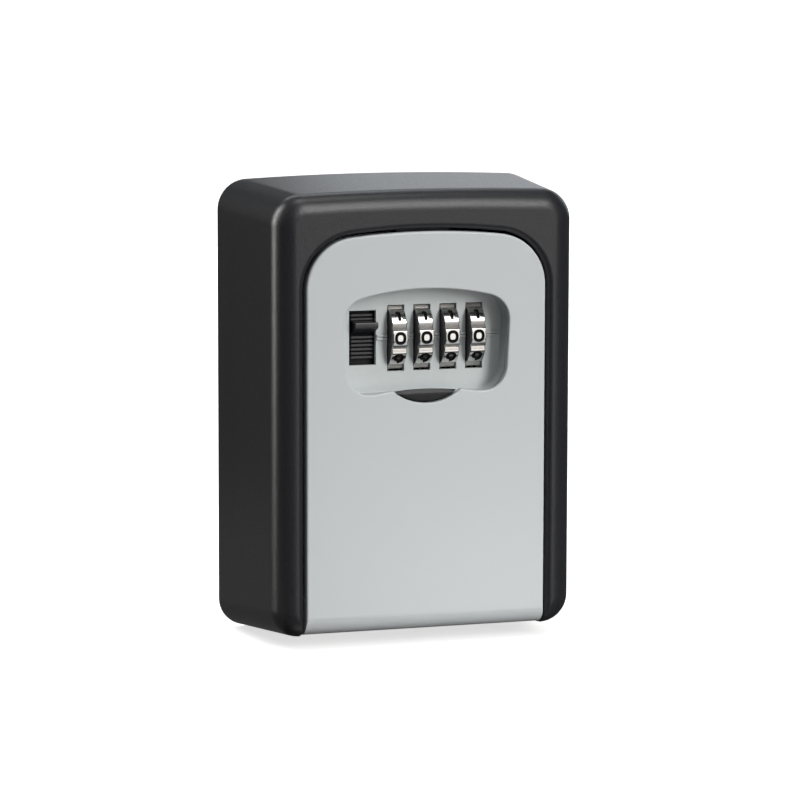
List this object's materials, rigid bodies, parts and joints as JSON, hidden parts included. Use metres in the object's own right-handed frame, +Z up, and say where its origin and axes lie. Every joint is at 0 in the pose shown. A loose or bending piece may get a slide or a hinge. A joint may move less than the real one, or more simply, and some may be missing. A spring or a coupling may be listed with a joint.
{
  "type": "key lock box",
  "caption": "Wall-mounted key safe: tapered cast box, bottom-hinged door with combination dials, release slide, latch and sliding weather shutter.",
  "frame": {"origin": "centre of the flat back face that goes against the wall", "axes": "+Y into the wall, so the door faces -Y; +Z up; +X to the right of someone facing the door"},
  "size_m": [0.085, 0.0402, 0.115],
  "materials": {
    "black_coat": "fine-textured black powder coat, satin",
    "grey_coat": "silver-grey satin coat, very fine grain",
    "grey_housing": "grey moulded plastic, satin",
    "zinc": "bare zinc casting, passivated",
    "blackened_steel": "black-oxide steel",
    "steel": "zinc-plated steel",
    "spring_steel": "spring steel",
    "chrome": "bright nickel-chrome plate with black-filled numerals",
    "brass": "yellow brass",
    "black_plastic": "black moulded plastic, semi-matte"
  },
  "bodies": {
    "body": {"body_shell": "black_coat", "hinge_pin_left": "steel", "hinge_pin_right": "steel"},
    "door": {"door_panel": "grey_coat", "dial_housing": "grey_housing", "lock_cover": "zinc", "cover_screw_1": "steel", "cover_screw_2": "steel", "cover_screw_3": "steel", "cover_screw_4": "steel", "housing_screw_1": "steel", "housing_screw_2": "steel", "housing_screw_3": "steel", "housing_screw_4": "steel", "dial_shaft": "steel", "shaft_ring_left": "steel", "shaft_ring_right": "steel", "detent_spring": "spring_steel", "latch_spring_left": "spring_steel", "latch_spring_right": "spring_steel", "clutch_spring": "spring_steel"},
    "dial_1": {"dial_wheel_1": "chrome"},
    "dial_2": {"dial_wheel_2": "chrome"},
    "dial_3": {"dial_wheel_3": "chrome"},
    "dial_4": {"dial_wheel_4": "chrome"},
    "change": {"change_slide": "brass"},
    "hub_1": {"clutch_hub_1": "zinc"},
    "hub_2": {"clutch_hub_2": "zinc"},
    "hub_3": {"clutch_hub_3": "zinc"},
    "hub_4": {"clutch_hub_4": "zinc"},
    "latch": {"latch_plate": "blackened_steel", "release_button": "black_plastic"},
    "shutter": {"weather_shutter": "black_plastic"}
  },
  "joints": [
    {"name": "door_hinge", "type": "hinge", "parent": "body", "child": "door", "pos_m": [0, -0.035, -0.04907], "axis": [1, 0, 0], "range_deg": [0, 90]},
    {"name": "dial_1_turn", "type": "hinge", "parent": "door", "child": "dial_1", "pos_m": [-0.0059, -0.02785, 0.0191], "axis": [1, 0, 0], "range_deg": [-360, 360]},
    {"name": "dial_2_turn", "type": "hinge", "parent": "door", "child": "dial_2", "pos_m": [0.00095, -0.02785, 0.0191], "axis": [1, 0, 0], "range_deg": [-360, 360]},
    {"name": "dial_3_turn", "type": "hinge", "parent": "door", "child": "dial_3", "pos_m": [0.0078, -0.02785, 0.0191], "axis": [1, 0, 0], "range_deg": [-360, 360]},
    {"name": "dial_4_turn", "type": "hinge", "parent": "door", "child": "dial_4", "pos_m": [0.01465, -0.02785, 0.0191], "axis": [1, 0, 0], "range_deg": [-360, 360]},
    {"name": "change_shift", "type": "slide", "parent": "door", "child": "change", "axis": [1, 0, 0], "range_m": [0, 0.00135], "stiffness_N_per_m": 300, "springref_m": -0.001, "deforming": ["clutch_spring"]},
    {"name": "hub_1_turn", "type": "hinge", "parent": "change", "child": "hub_1", "pos_m": [-0.0059, -0.02785, 0.0191], "axis": [1, 0, 0], "range_deg": [-360, 360]},
    {"name": "hub_2_turn", "type": "hinge", "parent": "change", "child": "hub_2", "pos_m": [0.00095, -0.02785, 0.0191], "axis": [1, 0, 0], "range_deg": [-360, 360]},
    {"name": "hub_3_turn", "type": "hinge", "parent": "change", "child": "hub_3", "pos_m": [0.0078, -0.02785, 0.0191], "axis": [1, 0, 0], "range_deg": [-360, 360]},
    {"name": "hub_4_turn", "type": "hinge", "parent": "change", "child": "hub_4", "pos_m": [0.01465, -0.02785, 0.0191], "axis": [1, 0, 0], "range_deg": [-360, 360]},
    {"name": "latch_slide", "type": "slide", "parent": "door", "child": "latch", "axis": [0, 0, -1], "range_m": [0, 0.0052], "stiffness_N_per_m": 300, "springref_m": -0.003, "deforming": ["latch_spring_left", "latch_spring_right"]},
    {"name": "shutter_slide", "type": "slide", "parent": "door", "child": "shutter", "axis": [0, 0, 1], "range_m": [0, 0.0244]}
  ],
  "couplings": [
    {"joint": "hub_1_turn", "follows": "dial_1_turn", "ratio": 1},
    {"joint": "hub_2_turn", "follows": "dial_2_turn", "ratio": 1},
    {"joint": "hub_3_turn", "follows": "dial_3_turn", "ratio": 1},
    {"joint": "hub_4_turn", "follows": "dial_4_turn", "ratio": 1}
  ]
}
